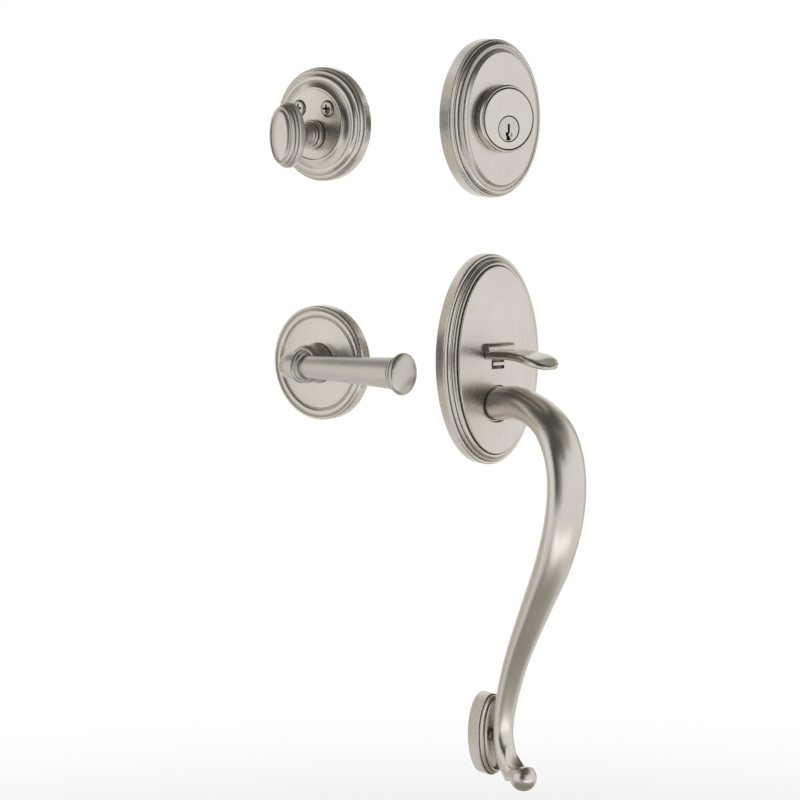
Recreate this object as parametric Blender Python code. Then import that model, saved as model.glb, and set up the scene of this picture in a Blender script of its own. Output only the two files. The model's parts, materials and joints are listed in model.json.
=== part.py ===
"""Entry door handleset: outside deadbolt and grip set, inside thumbturn and lever."""
import bpy
import bmesh
from math import cos, pi, radians, sin
from mathutils import Matrix, Vector

for leftover in list(bpy.data.objects):
    bpy.data.objects.remove(leftover, do_unlink=True)

# All sizes below are in millimetres; every mesh is scaled to metres once when it is finished
mm = 0.001

# Layout of the set
outside_spacing = 141.2               # latch bore to deadbolt bore, as the outside half stands
inside_spacing = 139.8                # the same for the inside half
inside_turn = -73.4                   # angle of the inside half to the outside half, degrees
inside_across = -75.6                 # inside rose centre from the outside plate centre, along X
inside_back = 54.0                    # the same, along Y
inside_drop = 2.0                     # the same, downwards
clearance = 0.3                       # between neighbouring pieces
skin = 2.8                            # wall of the hollow plates and roses

# Outside plates
plate_half_wide = 35.0
plate_half_tall = 62.0
plate_wall = 8.6                      # plain outer wall before the moulding
plate_face = 14.2                     # height of the flat panel
moulding_width = 7.0
bolt_half_wide = 32.5
bolt_half_tall = 46.1
bolt_wall = 12.6
bolt_wall_groove = 9.3                # height of the groove round the plain wall
bolt_face = 17.9
base_half_wide = 11.0
base_half_tall = 24.6
base_wall = 10.4
base_rim = 14.6
base_dish = 11.4
base_height = -223.2                  # centre of the lower base from the plate centre

# Deadbolt cylinder
head_radius = 17.7
head_face = 24.0
collar_wall = 1.7                     # the collar stands round the head with the usual clearance
collar_radius = head_radius + clearance + collar_wall
barrel_radius = 13.0
barrel_drop = 2.5
barrel_end = -26.0
plug_radius = 7.5
turn_drop = 5.8                       # plug and thumbturn axis below the rose centre
keyway_width = 1.5
keyway_low_width = 3.4
tail_end = -40.0
tie_across = 10.5                     # through screws to each side of the bore
tie_up = 9.3                          # and above it
support_low = 1.0                     # the flat plates under the deadbolt plate and rose
support_high = 3.0

# Grip and its fixing
grip_height = -25.6                   # centre of the grip's root from the plate centre
root_radius = 9.9
recess_depth = 1.8
stud_radius = 4.0
stud_end = -38.0
stud_tip = 25.6
washer_radius = 9.5
ball_radius = 8.0
ball_out = 40.0
ball_height = base_height - 21.0
ball_neck = 128                       # degrees round the ball where the stem meets it
scoop_height = base_height - 9.2      # hollow in the front of the stem above the ball
scoop_out = 31.2
scoop_half_tall = 9.4
scoop_half_wide = 4.9
scoop_half_deep = 5.2

# Thumb piece
pivot_out = 6.5
pivot_height = 1.5
tongue_half_wide = 4.3                # of the piece where it passes through its slot
slot_half_wide = tongue_half_wide + clearance
slot_low = -5.0
slot_high = 6.6
cheek_thick = 1.6
pin_radius = 1.5
heel_half_wide = 9.7                  # bar across the piece that rests on the plate
heel_low = 5.0
heel_high = 10.3
heel_thick = 3.7
step_low = -3.0                       # underside of the step in the slot

# Inside roses
rose_radius = 33.6
turn_rose_radius = 33.1
turn_disc_radius = 21.2
turn_disc = 12.4
neck_bore = 11.0
shank_bore = 6.4

# Lever
bar_out = 31.0                        # height of the bar's axis above the door
bar_end = 76.0
elbow_radius = 8.2
bar_root_radius = 6.3
bar_tip_radius = 9.2
cap_radius = 12.1
spindle_half = 4.0                    # half the side of the square spindle
spindle_low = -35.0
spindle_high = 11.7
mount_radius = 25.6                   # round plate behind the lever rose
lever_spring_radius = 12.4

# Thumbturn knob
turn_shift = 1.2                      # rose centre from the lever rose centre, along X
knob_half_wide = 11.0
knob_half_tall = 18.9
knob_face = 43.6

# Facets round a piece
fine = 24                             # plates and roses
castings = 20                         # grip and thumb piece
middling = 16                         # other turned pieces
coarse = 12                           # screws, posts and small holes
drill_phase = 0.37                    # holes are turned by this share of a facet

satin_nickel = (0.60, 0.57, 0.53)
zinc_steel = (0.52, 0.53, 0.55)
spring_steel = (0.36, 0.36, 0.37)
brass = (0.72, 0.56, 0.28)


# Carriers: the face frame has X to the right, Y up and Z out of the door
def carrier(name, location, turn):
    empty = bpy.data.objects.new(name, None)
    bpy.context.collection.objects.link(empty)
    empty.location = Vector(location) * mm
    empty.rotation_euler = (radians(90), 0, radians(turn))
    return empty


outside = carrier("outside_half", (0, 0, 0), 0)
inside = carrier("inside_half", (inside_across, inside_back, -inside_drop), inside_turn)


def surface(name, colour, roughness, metallic=1.0):
    finish = bpy.data.materials.new(name)
    finish.use_nodes = True
    shader = finish.node_tree.nodes["Principled BSDF"]
    shader.inputs["Base Color"].default_value = (*colour, 1)
    shader.inputs["Roughness"].default_value = roughness
    shader.inputs["Metallic"].default_value = metallic
    return finish


def make(name, bm, parent, location=(0, 0, 0), colour=satin_nickel, roughness=0.36, sharp=34):
    bmesh.ops.recalc_face_normals(bm, faces=bm.faces)
    bmesh.ops.scale(bm, vec=(mm, mm, mm), verts=bm.verts)
    mesh = bpy.data.meshes.new(name)
    bm.to_mesh(mesh)
    bm.free()
    mesh.shade_smooth()
    mesh.set_sharp_from_angle(angle=radians(sharp))
    mesh.materials.append(surface(name, colour, roughness))
    piece = bpy.data.objects.new(name, mesh)
    bpy.context.collection.objects.link(piece)
    piece.parent = parent
    piece.location = Vector(location) * mm
    return piece


def combine(piece, tool, operation):
    tool.hide_render = True
    tool.display_type = 'WIRE'
    step = piece.modifiers.new(operation.lower(), 'BOOLEAN')
    step.operation = operation
    step.solver = 'EXACT'
    step.object = tool
    return piece


# Outlines of a section, as functions of the angle round it
def round_outline(angle):
    return cos(angle), sin(angle)


def soft_outline(power, flat=1.0, hollow=0.0):
    def outline(angle):
        across = abs(cos(angle)) ** (2 / power) * (1 if cos(angle) >= 0 else -1)
        up = abs(sin(angle)) ** (2 / power) * (1 if sin(angle) >= 0 else -1)
        if up > 0:
            up = up - hollow * (1 - across * across)
        return across, min(up, flat)
    return outline


def place(centre, across, up, half_across, half_up):
    frame = Matrix((across * half_across, up * half_up, across.cross(up))).transposed().to_4x4()
    frame.translation = Vector(centre)
    return frame


def loft(bm, sections, segments, closed=False, phase=0.0):
    ring = bmesh.ops.create_circle(bm, segments=segments, radius=1.0)["verts"]
    first = None
    for section in sections + (sections[:1] if closed else []):
        frame, shape = section if isinstance(section, tuple) else (section, round_outline)
        if first is None:
            first = [bm.edges.get((ring[k - 1], ring[k])) for k in range(segments)]
        else:
            edges = [bm.edges.get((ring[k - 1], ring[k])) for k in range(segments)]
            grown = bmesh.ops.extrude_edge_only(bm, edges=edges)["geom"]
            fresh = {item for item in grown if isinstance(item, bmesh.types.BMVert)}
            ring = [next(edge.other_vert(vert) for edge in vert.link_edges
                         if edge.other_vert(vert) in fresh) for vert in ring]
        for k, vert in enumerate(ring):
            vert.co = frame @ Vector((*shape(2 * pi * (k + phase) / segments), 0))
    if closed:
        bmesh.ops.remove_doubles(bm, verts=bm.verts, dist=1e-5)
    else:
        last = [bm.edges.get((ring[k - 1], ring[k])) for k in range(segments)]
        bmesh.ops.contextual_create(bm, geom=first)
        bmesh.ops.contextual_create(bm, geom=last)


axis_x = Vector((1, 0, 0))
axis_y = Vector((0, 1, 0))
axis_z = Vector((0, 0, 1))


def oval(half_wide, half_tall, inset, height):
    return place((0, 0, height), axis_x, axis_y, half_wide - inset, half_tall - inset)


# A turned piece: a profile of (radius, height) round the face normal
def turned(name, profile, parent, location=(0, 0, 0), segments=middling, closed=False, phase=0.0, **look):
    bm = bmesh.new()
    loft(bm, [oval(radius, radius, 0, height) for radius, height in profile], segments, closed, phase)
    return make(name, bm, parent, location, **look)


def box(name, low, high, parent, location=(0, 0, 0), bevel=0.0, **look):
    bm = bmesh.new()
    middle = [(a + b) / 2 for a, b in zip(low, high)]
    extent = [b - a for a, b in zip(low, high)]
    stretch = Matrix.Diagonal((*extent, 1))
    bmesh.ops.create_cube(bm, size=1.0, matrix=Matrix.Translation(middle) @ stretch)
    if bevel:
        bmesh.ops.bevel(bm, geom=bm.edges[:], offset=bevel, segments=2, profile=0.5, affect='EDGES')
    return make(name, bm, parent, location, **look)


def drill(name, radius, low, high, parent, location=(0, 0, 0), top=None, segments=middling):
    return turned(name, [(radius, low), (top or radius, high)], parent, location, segments, phase=drill_phase)


# A turned piece across the plate, along X
def crosswise(name, profile, centre, segments=coarse, closed=False, **look):
    _, height, out = centre
    bm = bmesh.new()
    loft(bm, [place((reach, height, out), axis_y, axis_z, radius, radius) for reach, radius in profile],
         segments, closed)
    return make(name, bm, outside, **look)


# Quarter-round steps with a groove before each, from the wall up to the panel
def moulding(wall, face, width, shares):
    rise = (face - wall) / len(shares)
    points = [(0, wall - 0.6), (0.5, wall)]
    inset = 0.5
    height = wall
    for share in shares:
        run = share * width
        points += [(inset + 0.4, height - 0.6), (inset + 0.65, height + 0.5 * rise)]
        points += [(inset + 0.35 * run + 0.4, height + 0.88 * rise), (inset + run - 0.2, height + rise)]
        inset += run
        height += rise
    return points


def hollow_plate(name, half_wide, half_tall, wall, face, width, shares, groove=None, location=(0, 0, 0)):
    profile = [(width + 0.6, face - skin), (skin, wall - skin), (skin - 0.4, 0), (0, 0)]
    if groove:
        profile += [(0, groove - 0.3), (0.7, groove), (0.1, groove + 0.5)]
    profile += moulding(wall, face, width, shares)
    bm = bmesh.new()
    loft(bm, [oval(half_wide, half_tall, inset, height) for inset, height in profile], fine)
    return make(name, bm, outside, location)


# Outside deadbolt
bolt_centre = (0, outside_spacing, 0)
plug_centre = (0, outside_spacing - turn_drop, 0)
barrel_centre = (0, outside_spacing - barrel_drop, 0)

deadbolt_plate = hollow_plate("deadbolt_plate", bolt_half_wide, bolt_half_tall, bolt_wall, bolt_face,
                              moulding_width, (0.5, 0.5), bolt_wall_groove, bolt_centre)
barrel_hole = drill("barrel_hole", barrel_radius + clearance, -1, 30, outside, barrel_centre)
combine(deadbolt_plate, barrel_hole, 'DIFFERENCE')

seat = bolt_face + clearance
collar_bore = head_radius + clearance
collar_profile = [
    (collar_radius, seat), (collar_radius - 0.2, head_face - 2.2), (collar_radius - 0.6, head_face - 0.9),
    (collar_radius - 1.2, head_face - 0.2), (collar_bore + 0.2, head_face - 0.4),
    (collar_bore, head_face - 1), (collar_bore, seat)]
turned("cylinder_collar", collar_profile, outside, bolt_centre, fine, closed=True)

head_profile = [(head_radius, seat), (head_radius, head_face - 0.7), (head_radius - 0.6, head_face)]
head = turned("cylinder_body", head_profile, outside, bolt_centre, fine, roughness=0.3)
barrel_profile = [
    (barrel_radius, seat + 1), (barrel_radius, barrel_end + 0.8), (barrel_radius - 0.8, barrel_end)]
combine(head, turned("barrel_stock", barrel_profile, outside, barrel_centre, phase=drill_phase), 'UNION')
plug_hole = drill("plug_hole", plug_radius + 0.25, barrel_end - 2, head_face + 2, outside, plug_centre)
combine(head, plug_hole, 'DIFFERENCE')

# Plug that the key turns, with a neck behind the barrel for its clip
neck_end = barrel_end - 2.6
neck_radius = plug_radius - 1.9
plug_profile = [
    (neck_radius, neck_end), (neck_radius, barrel_end), (plug_radius, barrel_end),
    (plug_radius, head_face - 0.3), (plug_radius - 0.3, head_face)]
key_plug = turned("key_plug", plug_profile, outside, plug_centre, roughness=0.3)
keyway_side = keyway_low_width / 2
keyway_top = box("keyway_top", (-keyway_width / 2, -2.4, -2), (keyway_width / 2, 2.8, head_face + 2), outside,
                 plug_centre)
keyway_low = box("keyway_low", (-keyway_side, -6.4, -2.3), (keyway_side - 1, -2.2, head_face + 2.3), outside,
                 plug_centre)
combine(key_plug, keyway_top, 'DIFFERENCE')
combine(key_plug, keyway_low, 'DIFFERENCE')


# Flat ring, such as a washer or a retaining clip
def washer(name, hole, radius, top, thick, parent, location, **look):
    profile = [(hole, top), (radius, top), (radius, top - thick), (hole, top - thick)]
    return turned(name, profile, parent, location, closed=True, **look)


washer("plug_clip", neck_radius + clearance, plug_radius + 1.6, barrel_end - clearance, 1.2, outside,
       plug_centre, colour=spring_steel)
box("tailpiece", (-3.2, -0.9, tail_end), (3.2, 0.9, neck_end - clearance), outside, plug_centre, 0.2,
    colour=zinc_steel)


# Flat plate inside the rim of a deadbolt plate or rose, which the through screws pull on
def support_plate(name, half_wide, half_tall, parent, location):
    bm = bmesh.new()
    edge = 0.3
    profile = [(edge, support_low), (0, support_low + edge), (0, support_high - edge), (edge, support_high)]
    loft(bm, [oval(half_wide, half_tall, inset, height) for inset, height in profile], fine)
    return make(name, bm, parent, location, colour=zinc_steel)


inner_gap = skin + clearance
deadbolt_support = support_plate("deadbolt_support", bolt_half_wide - inner_gap, bolt_half_tall - inner_gap,
                                 outside, bolt_centre)
support_hole = drill("support_hole", barrel_radius + clearance, 0, 5, outside, barrel_centre)
combine(deadbolt_support, support_hole, 'DIFFERENCE')
post_end = -24.0
post_profile = [(2.4, support_low - clearance), (2.4, post_end), (1.5, post_end), (1.5, -10)]
for side, name in ((-1, "left"), (1, "right")):
    spot = (side * tie_across, outside_spacing + tie_up, 0)
    turned("deadbolt_post_" + name, post_profile, outside, spot, coarse, colour=brass)

# Outside grip plate
grip_plate = hollow_plate("grip_plate", plate_half_wide, plate_half_tall, plate_wall, plate_face,
                          moulding_width, (0.37, 0.37, 0.26))
root_spot = (0, grip_height, 0)
above_face = plate_face + 2
root_recess = drill("root_recess", root_radius + 0.5, plate_face - recess_depth, above_face, outside,
                    root_spot, top=root_radius + 2.2)
stud_way = stud_radius + clearance
stud_hole = drill("stud_hole", stud_way, 0, above_face, outside, root_spot, segments=coarse)
slot_corner = (slot_half_wide, slot_high, above_face)
thumb_slot = box("thumb_slot", (-slot_half_wide, slot_low, 5), slot_corner, outside)
combine(grip_plate, root_recess, 'DIFFERENCE')
combine(grip_plate, stud_hole, 'DIFFERENCE')
combine(grip_plate, thumb_slot, 'DIFFERENCE')

# A height on the grip, as a share of the way down from its root to the lower base
def down(share):
    return grip_height + share * (base_height - grip_height)


# Grip: key sections as distance out, height, half width and half thickness
grip_keys = [
    (plate_face - recess_depth + clearance, grip_height, root_radius, root_radius),
    (34.0, grip_height + 2.0, 10.4, 9.5),
    (55.5, grip_height - 3.0, 12.0, 8.7),
    (70.6, grip_height - 13.9, 12.7, 8.4),
    (79.0, down(0.1741), 12.8, 8.6),
    (77.5, down(0.3057), 12.5, 8.6),
    (67.6, down(0.4474), 11.6, 8.0),
    (51.2, down(0.5941), 9.6, 6.9),
    (34.6, down(0.7459), 7.9, 6.0),
    (24.4, base_height + 24.2, 7.0, 5.6),
    (20.4, base_height + 3.2, 6.4, 5.6),
    (23.6, base_height - 11.2, 6.4, 6.0),
    (31.6, base_height - 19.4, 6.3, 6.5)]


# Smooth run through the key sections
def smooth(keys, steps):
    keys = [Vector(key) for key in keys]
    padded = [2 * keys[0] - keys[1]] + keys + [2 * keys[-1] - keys[-2]]
    run = []
    for before, start, end, after in zip(padded, padded[1:], padded[2:], padded[3:]):
        for step in range(steps):
            t = step / steps
            bend = 2 * before - 5 * start + 4 * end - after
            twist = 3 * start - before - 3 * end + after
            run.append(0.5 * (2 * start + (end - before) * t + bend * t ** 2 + twist * t ** 3))
    return run + [keys[-1]]


def swept(keys, steps, shape_at, start=None):
    run = smooth(keys, steps)
    sections = []
    for k, (out, height, half_wide, half_thick) in enumerate(run):
        ahead = run[min(k + 1, len(run) - 1)]
        behind = run[max(k - 1, 0)]
        along = Vector((0, ahead[1] - behind[1], ahead[0] - behind[0])).normalized()
        if k == 0 and start:
            along = start
        outward = along.cross(axis_x)
        frame = place((0, height, out), axis_x, outward, half_wide, half_thick)
        sections.append((frame, shape_at(k / (len(run) - 1))))
    return sections, along


def grip_shape(part):
    flatness = min(max((part - 0.35) / 0.25, 0), 1) * min(max((0.97 - part) / 0.12, 0), 1)
    return soft_outline(2.0 + 0.5 * flatness, 1 - 0.16 * flatness)


bm = bmesh.new()
sections, along = swept(grip_keys, 2, grip_shape, axis_z)
ball_centre = Vector((0, ball_height, ball_out))
ball_steps = 8
for step in range(1, ball_steps):
    turn = radians(ball_neck * (1 - step / ball_steps))
    radius = ball_radius * sin(turn)
    centre = ball_centre + along * ball_radius * cos(turn)
    sections.append((place(centre, axis_x, along.cross(axis_x), radius, radius), round_outline))
loft(bm, sections, castings)
grip = make("grip_handle", bm, outside, sharp=28)
bm = bmesh.new()
scoop_form = Matrix.Translation((0, scoop_height, scoop_out)) @ Matrix.Rotation(radians(-24), 4, "X")
scoop_form = scoop_form @ Matrix.Diagonal((scoop_half_wide, scoop_half_tall, scoop_half_deep, 1))
bmesh.ops.create_uvsphere(bm, u_segments=coarse, v_segments=10, radius=1.0, matrix=scoop_form)
combine(grip, make("scoop", bm, outside), 'DIFFERENCE')
base_spot = (0, base_height, 0)
grip_stud_hole = drill("grip_stud_hole", stud_radius + 0.25, 5, stud_tip + 0.4, outside, root_spot,
                       segments=coarse)
combine(grip, grip_stud_hole, 'DIFFERENCE')
combine(grip, drill("grip_base_hole", 2.6, 5, 19, outside, base_spot, segments=coarse), 'DIFFERENCE')

# Stud, washer and nut that pull the grip to its plate, and the post for the upper through screw
stud_profile = [(stud_radius - 0.6, stud_end), (stud_radius, stud_end + 0.8), (stud_radius, stud_tip)]
turned("grip_stud", stud_profile, outside, root_spot, coarse, colour=zinc_steel)
panel_back = plate_face - skin
washer_face = panel_back - clearance
washer_thick = 1.6
washer("grip_washer", stud_radius + clearance, washer_radius, washer_face, washer_thick, outside, root_spot,
       colour=zinc_steel)
nut_face = washer_face - washer_thick - clearance
grip_nut = turned("grip_nut", [(7.0, nut_face), (7.5, nut_face - 0.5), (7.5, nut_face - 5.5)], outside,
                  root_spot, 6, colour=zinc_steel)
nut_hole = drill("nut_hole", stud_radius + 0.25, nut_face - 9, nut_face + 3, outside, root_spot,
                 segments=coarse)
combine(grip_nut, nut_hole, 'DIFFERENCE')
plate_post_profile = [(3.5, washer_face), (3.5, -22), (2.0, -22), (2.0, -6)]
turned("grip_plate_post", plate_post_profile, outside, (0, 24, 0), coarse, colour=brass)

# Lower base, its spacer and screw
bm = bmesh.new()
base_profile = [
    (6.2, base_dish - skin), (2.2, base_wall - skin), (2.2, 0), (0, 0), (0, base_wall - 0.5),
    (0.4, base_wall), (0.75, base_wall - 0.4), (0.95, base_wall + 1.4), (1.5, base_wall + 2.5),
    (2.1, base_wall + 2.8), (2.4, base_wall + 2.3), (2.6, base_rim - 0.5), (3.1, base_rim),
    (3.7, base_rim - 0.1), (4.4, base_rim - 1.4), (5.6, base_dish + 0.3), (7.0, base_dish)]
base_sections = [oval(base_half_wide, base_half_tall, inset, height) for inset, height in base_profile]
loft(bm, base_sections, fine)
lower_base = make("lower_base", bm, outside, base_spot)
base_screw_hole = drill("base_screw_hole", 2.7, 2, 20, outside, base_spot, segments=coarse)
combine(lower_base, base_screw_hole, 'DIFFERENCE')
spacer_top = 14.2
washer("base_spacer", 2.7, 3.9, spacer_top, spacer_top - base_dish - clearance, outside, base_spot)
screw_seat = base_dish - skin - clearance
base_screw_profile = [
    (4.2, screw_seat - 2.8), (4.6, screw_seat - 2.2), (4.6, screw_seat), (2.35, screw_seat), (2.35, 18.3),
    (1.9, 18.8)]
turned("base_screw", base_screw_profile, outside, base_spot, coarse, colour=zinc_steel)

# Thumb piece: a cast tongue that goes through the slot, with a heel that rests on the plate
pivot = (0, pivot_height, pivot_out)


def thumb_shape(part):
    hollow = 0.3 * min(max((part - 0.6) / 0.15, 0), 1) * min(max((1 - part) / 0.12, 0), 1)
    return soft_outline(3.6, 1.0, hollow)


# Keys are the distance out, the height, the half width and the half thickness
root_keys = [
    (-28, pivot_height, 2.3, 1.7), (-12, pivot_height, 2.5, 2.2), (0, pivot_height, 3.9, 3.4),
    (pivot_out, pivot_height, tongue_half_wide, 3.5), (12, pivot_height, tongue_half_wide - 0.1, 3.3)]
pad_keys = [
    (14.9, 3.3, 10.0, 2.8), (22, 3.8, 10.0, 2.8), (31, 4.4, 9.8, 3.0), (40, 4.4, 10.0, 3.1),
    (49, 3.7, 10.8, 3.0), (55, 2.5, 10.8, 2.7), (59.6, 1.1, 9.0, 2.3), (63.4, -0.2, 5.6, 1.7),
    (65.4, -0.8, 2.0, 0.9)]
root_run, _ = swept(root_keys, 2, lambda part: soft_outline(4.0))
pad_run, _ = swept(pad_keys, 2, lambda part: thumb_shape(0.5 + part / 2))
bm = bmesh.new()
shoulder = place((0, 2.6, plate_face + 0.55), axis_x, axis_y, tongue_half_wide - 0.1, 2.1)
loft(bm, root_run + [(shoulder, soft_outline(4.0))] + pad_run, castings)
bmesh.ops.translate(bm, vec=-Vector(pivot), verts=bm.verts)
thumb = make("thumb_piece", bm, outside, pivot)
heel_back = plate_face + 0.4
heel = box("thumb_heel", (-heel_half_wide, heel_low, heel_back),
           (heel_half_wide, heel_high, heel_back + heel_thick), outside, bevel=0.9)
step_side = tongue_half_wide - 0.15
step = box("thumb_step", (-step_side, step_low, 10.0), (step_side, 0.9, plate_face + 0.9), outside, bevel=0.3)
combine(thumb, heel, 'UNION')
combine(thumb, step, 'UNION')
pin_way = crosswise("pin_way", [(-9, pin_radius + 0.2), (9, pin_radius + 0.2)], pivot)
combine(thumb, pin_way, 'DIFFERENCE')

# Bracket with two cheeks, made as a folded strip and drilled for the pin
cheek = 6.0
bracket_back = 1.5
bracket_front = panel_back - clearance
bracket = box("thumb_bracket", (-15, -6.5, bracket_back), (15, 10.6, bracket_front), outside, bevel=0.4,
              colour=zinc_steel)
tail_way = box("tail_way", (-cheek, -2.6, 0), (cheek, 9.0, 20), outside)
between_cheeks = box("between_cheeks", (-cheek, -8, bracket_back + cheek_thick), (cheek, -2.2, 20), outside)
combine(bracket, tail_way, 'DIFFERENCE')
combine(bracket, between_cheeks, 'DIFFERENCE')
for side, low, high in (("left", -20, -cheek - cheek_thick), ("right", cheek + cheek_thick, 20)):
    beside = box("beside_cheek_" + side, (low, -9, -1), (high, 12, bracket_front - cheek_thick), outside)
    combine(bracket, beside, 'DIFFERENCE')
pin_hole = crosswise("pin_hole", [(-20, pin_radius + 0.15), (20, pin_radius + 0.15)], pivot)
combine(bracket, pin_hole, 'DIFFERENCE')

pin_head = -cheek - cheek_thick - clearance
pin_tip = 13.4
pin_profile = [
    (pin_head - 1.2, 2.0), (pin_head - 0.9, 2.4), (pin_head, 2.4), (pin_head, pin_radius),
    (pin_tip, pin_radius)]
crosswise("thumb_pin", pin_profile, pivot, colour=spring_steel)
clip_hole = pin_radius + 0.2
clip_profile = [
    (pin_tip - 1.2, clip_hole), (pin_tip - 1.2, 3.0), (pin_tip - 0.4, 3.0), (pin_tip - 0.4, clip_hole)]
crosswise("thumb_pin_clip", clip_profile, pivot, closed=True, colour=spring_steel)


# A coil of round wire about any axis
def coil(name, start, axis, side, other, radius, wire, pitch, turns, parent, steps=10, segments=5):
    bm = bmesh.new()
    sections = []
    for k in range(int(turns * steps) + 1):
        angle = 2 * pi * k / steps
        outward = side * cos(angle) + other * sin(angle)
        centre = Vector(start) + axis * (pitch * k / steps) + outward * radius
        sections.append(place(centre, axis, outward, wire, wire))
    loft(bm, sections, segments)
    return make(name, bm, parent, colour=spring_steel, sharp=60)


spring_start = (cheek + cheek_thick + 0.8, pivot_height, pivot_out)
coil("thumb_spring", spring_start, axis_x, axis_y, axis_z, 2.5, 0.4, 0.95, 3, outside)
for side, name in ((-1, "left"), (1, "right")):
    spot = (side * 11.6, 7.7, 0)
    flange_back = bracket_front - cheek_thick
    under_head = flange_back - clearance
    flange_hole = drill("flange_hole_" + name, 1.5, 5, 16, outside, spot, segments=coarse)
    panel_hole = drill("panel_hole_" + name, 1.5, 5, panel_back + 1.7, outside, spot, segments=coarse)
    combine(bracket, flange_hole, 'DIFFERENCE')
    combine(grip_plate, panel_hole, 'DIFFERENCE')
    bracket_screw_profile = [
        (1.9, under_head - 1.7), (2.5, under_head - 1.2), (2.5, under_head), (1.25, under_head),
        (1.25, panel_back + 1.4)]
    turned("bracket_screw_" + name, bracket_screw_profile, outside, spot, coarse, colour=zinc_steel)

# Inside thumbturn
turn_centre = (turn_shift, inside_spacing, 0)
shaft_centre = (turn_shift, inside_spacing - turn_drop, 0)
rim = turn_rose_radius
disc = turn_disc_radius
turn_profile = [
    (disc - 1, turn_disc - skin), (disc + 2, turn_disc - skin - 0.6), (rim - 4.6, 4.2), (rim - 2.4, 2.6),
    (rim - 2.4, 0), (rim, 0), (rim, 4.9), (rim - 0.5, 5.6), (rim - 0.9, 5.3), (rim - 1.2, 6.8),
    (rim - 1.8, 7.7), (rim - 2.7, 8.0), (rim - 3.0, 7.6), (rim - 3.5, 8.9), (rim - 4.2, 9.7),
    (rim - 5.1, 9.9), (rim - 5.5, 9.5), (rim - 8.7, 10.8), (rim - 9.7, 12.0), (disc + 1.9, 12.9),
    (disc + 1.2, 13.3), (disc + 0.5, 13.1), (disc, turn_disc)]
turn_rose = turned("turn_rose", turn_profile, inside, turn_centre, fine)
combine(turn_rose, drill("shank_hole", shank_bore, 3, 20, inside, shaft_centre), 'DIFFERENCE')
turn_backplate = support_plate("turn_backplate", rim - 3.2, rim - 3.2, inside, turn_centre)
combine(turn_backplate, drill("backplate_hole", shank_bore, 0, 6, inside, shaft_centre), 'DIFFERENCE')
screw_low = turn_disc - 1.6
screw_hole = 2.7
turn_screw_profile = [
    (1.6, post_end - 0.6), (2.3, post_end), (2.3, screw_low + 0.2), (4.6, turn_disc + 0.1),
    (4.2, turn_disc + 0.8), (2.6, turn_disc + 1.4), (1.2, turn_disc + 1.6)]
for side, name in ((-1, "left"), (1, "right")):
    spot = (turn_shift + side * tie_across, inside_spacing + tie_up, 0)
    rose_hole = drill("rose_screw_hole_" + name, screw_hole, 5, screw_low, inside, spot, segments=coarse)
    sink = drill("rose_sink_" + name, screw_hole, screw_low - 0.2, turn_disc + 0.8, inside, spot, top=5.9,
                 segments=coarse)
    plate_hole = drill("plate_screw_hole_" + name, screw_hole, 0, 6, inside, spot, segments=coarse)
    combine(turn_rose, rose_hole, 'DIFFERENCE')
    combine(turn_rose, sink, 'DIFFERENCE')
    combine(turn_backplate, plate_hole, 'DIFFERENCE')
    turned("turn_screw_" + name, turn_screw_profile, inside, spot, coarse, colour=zinc_steel, roughness=0.25)

# Knob: oval head with two bead rings on a round moulded shank
bm = bmesh.new()
shank = [
    (4.2, -8), (4.2, 0.6), (shank_bore - 0.4, 0.6), (shank_bore - 0.4, turn_disc + 0.5),
    (8.4, turn_disc + 0.5), (8.7, turn_disc + 1.0), (8.6, turn_disc + 3.2), (8.0, turn_disc + 3.9),
    (7.2, turn_disc + 4.0), (7.5, turn_disc + 4.9), (7.2, turn_disc + 5.7), (6.4, turn_disc + 6.1),
    (5.6, turn_disc + 8.4)]
profile = [oval(radius, radius, 0, height) for radius, height in shank]
# Rings of the head: inset from its widest outline, share of the oval form, and height
head_rings = [
    (5.4, 0.0, 24.0), (2.6, 0.4, 29.4), (0.4, 0.93, 32.6), (0.0, 1.0, 33.6), (0.0, 1.0, 37.2),
    (0.5, 1.0, 38.0), (0.9, 1.0, 37.8), (1.0, 1.0, 39.2), (1.5, 1.0, 39.9), (1.9, 1.0, 39.7),
    (2.1, 1.0, 41.4), (2.7, 1.0, 42.2), (3.2, 1.0, 42.1), (3.6, 1.0, 41.5), (5.0, 1.0, 42.3),
    (7.4, 1.0, 43.2), (9.2, 1.0, knob_face)]
for inset, ovalness, height in head_rings:
    half_tall = (knob_half_tall - inset) * ovalness + (knob_half_wide - inset) * (1 - ovalness)
    half_wide = knob_half_wide - inset
    profile.append(place((0, 0, height), axis_x, axis_y, half_wide, half_tall))
loft(bm, profile, middling)
turn_knob = make("turn_knob", bm, inside, shaft_centre)
combine(turn_knob, box("knob_slot", (-1.2, -8, -10), (1.2, 8, -3), inside, shaft_centre), 'DIFFERENCE')
washer("turn_clip", 4.5, 7.8, 0.3, 1.2, inside, shaft_centre, colour=spring_steel)

# Inside lever rose
edge = rose_radius
lever_profile = [
    (neck_bore, 4.9), (edge - 6.4, 4.1), (edge - 2.6, 2.6), (edge - 2.6, 0), (edge, 0), (edge, 6.4),
    (edge - 0.4, 7.2), (edge - 1.0, 7.5), (edge - 1.6, 7.2), (edge - 1.9, 6.7), (edge - 2.4, 7.3),
    (edge - 3.6, 7.9), (edge - 5.0, 7.8), (edge - 6.1, 7.1), (edge - 6.5, 6.3), (edge - 6.9, 6.9),
    (edge - 15, 7.5), (neck_bore + 0.4, 7.9), (neck_bore, 7.6)]
turned("lever_rose", lever_profile, inside, segments=fine, closed=True)

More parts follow.
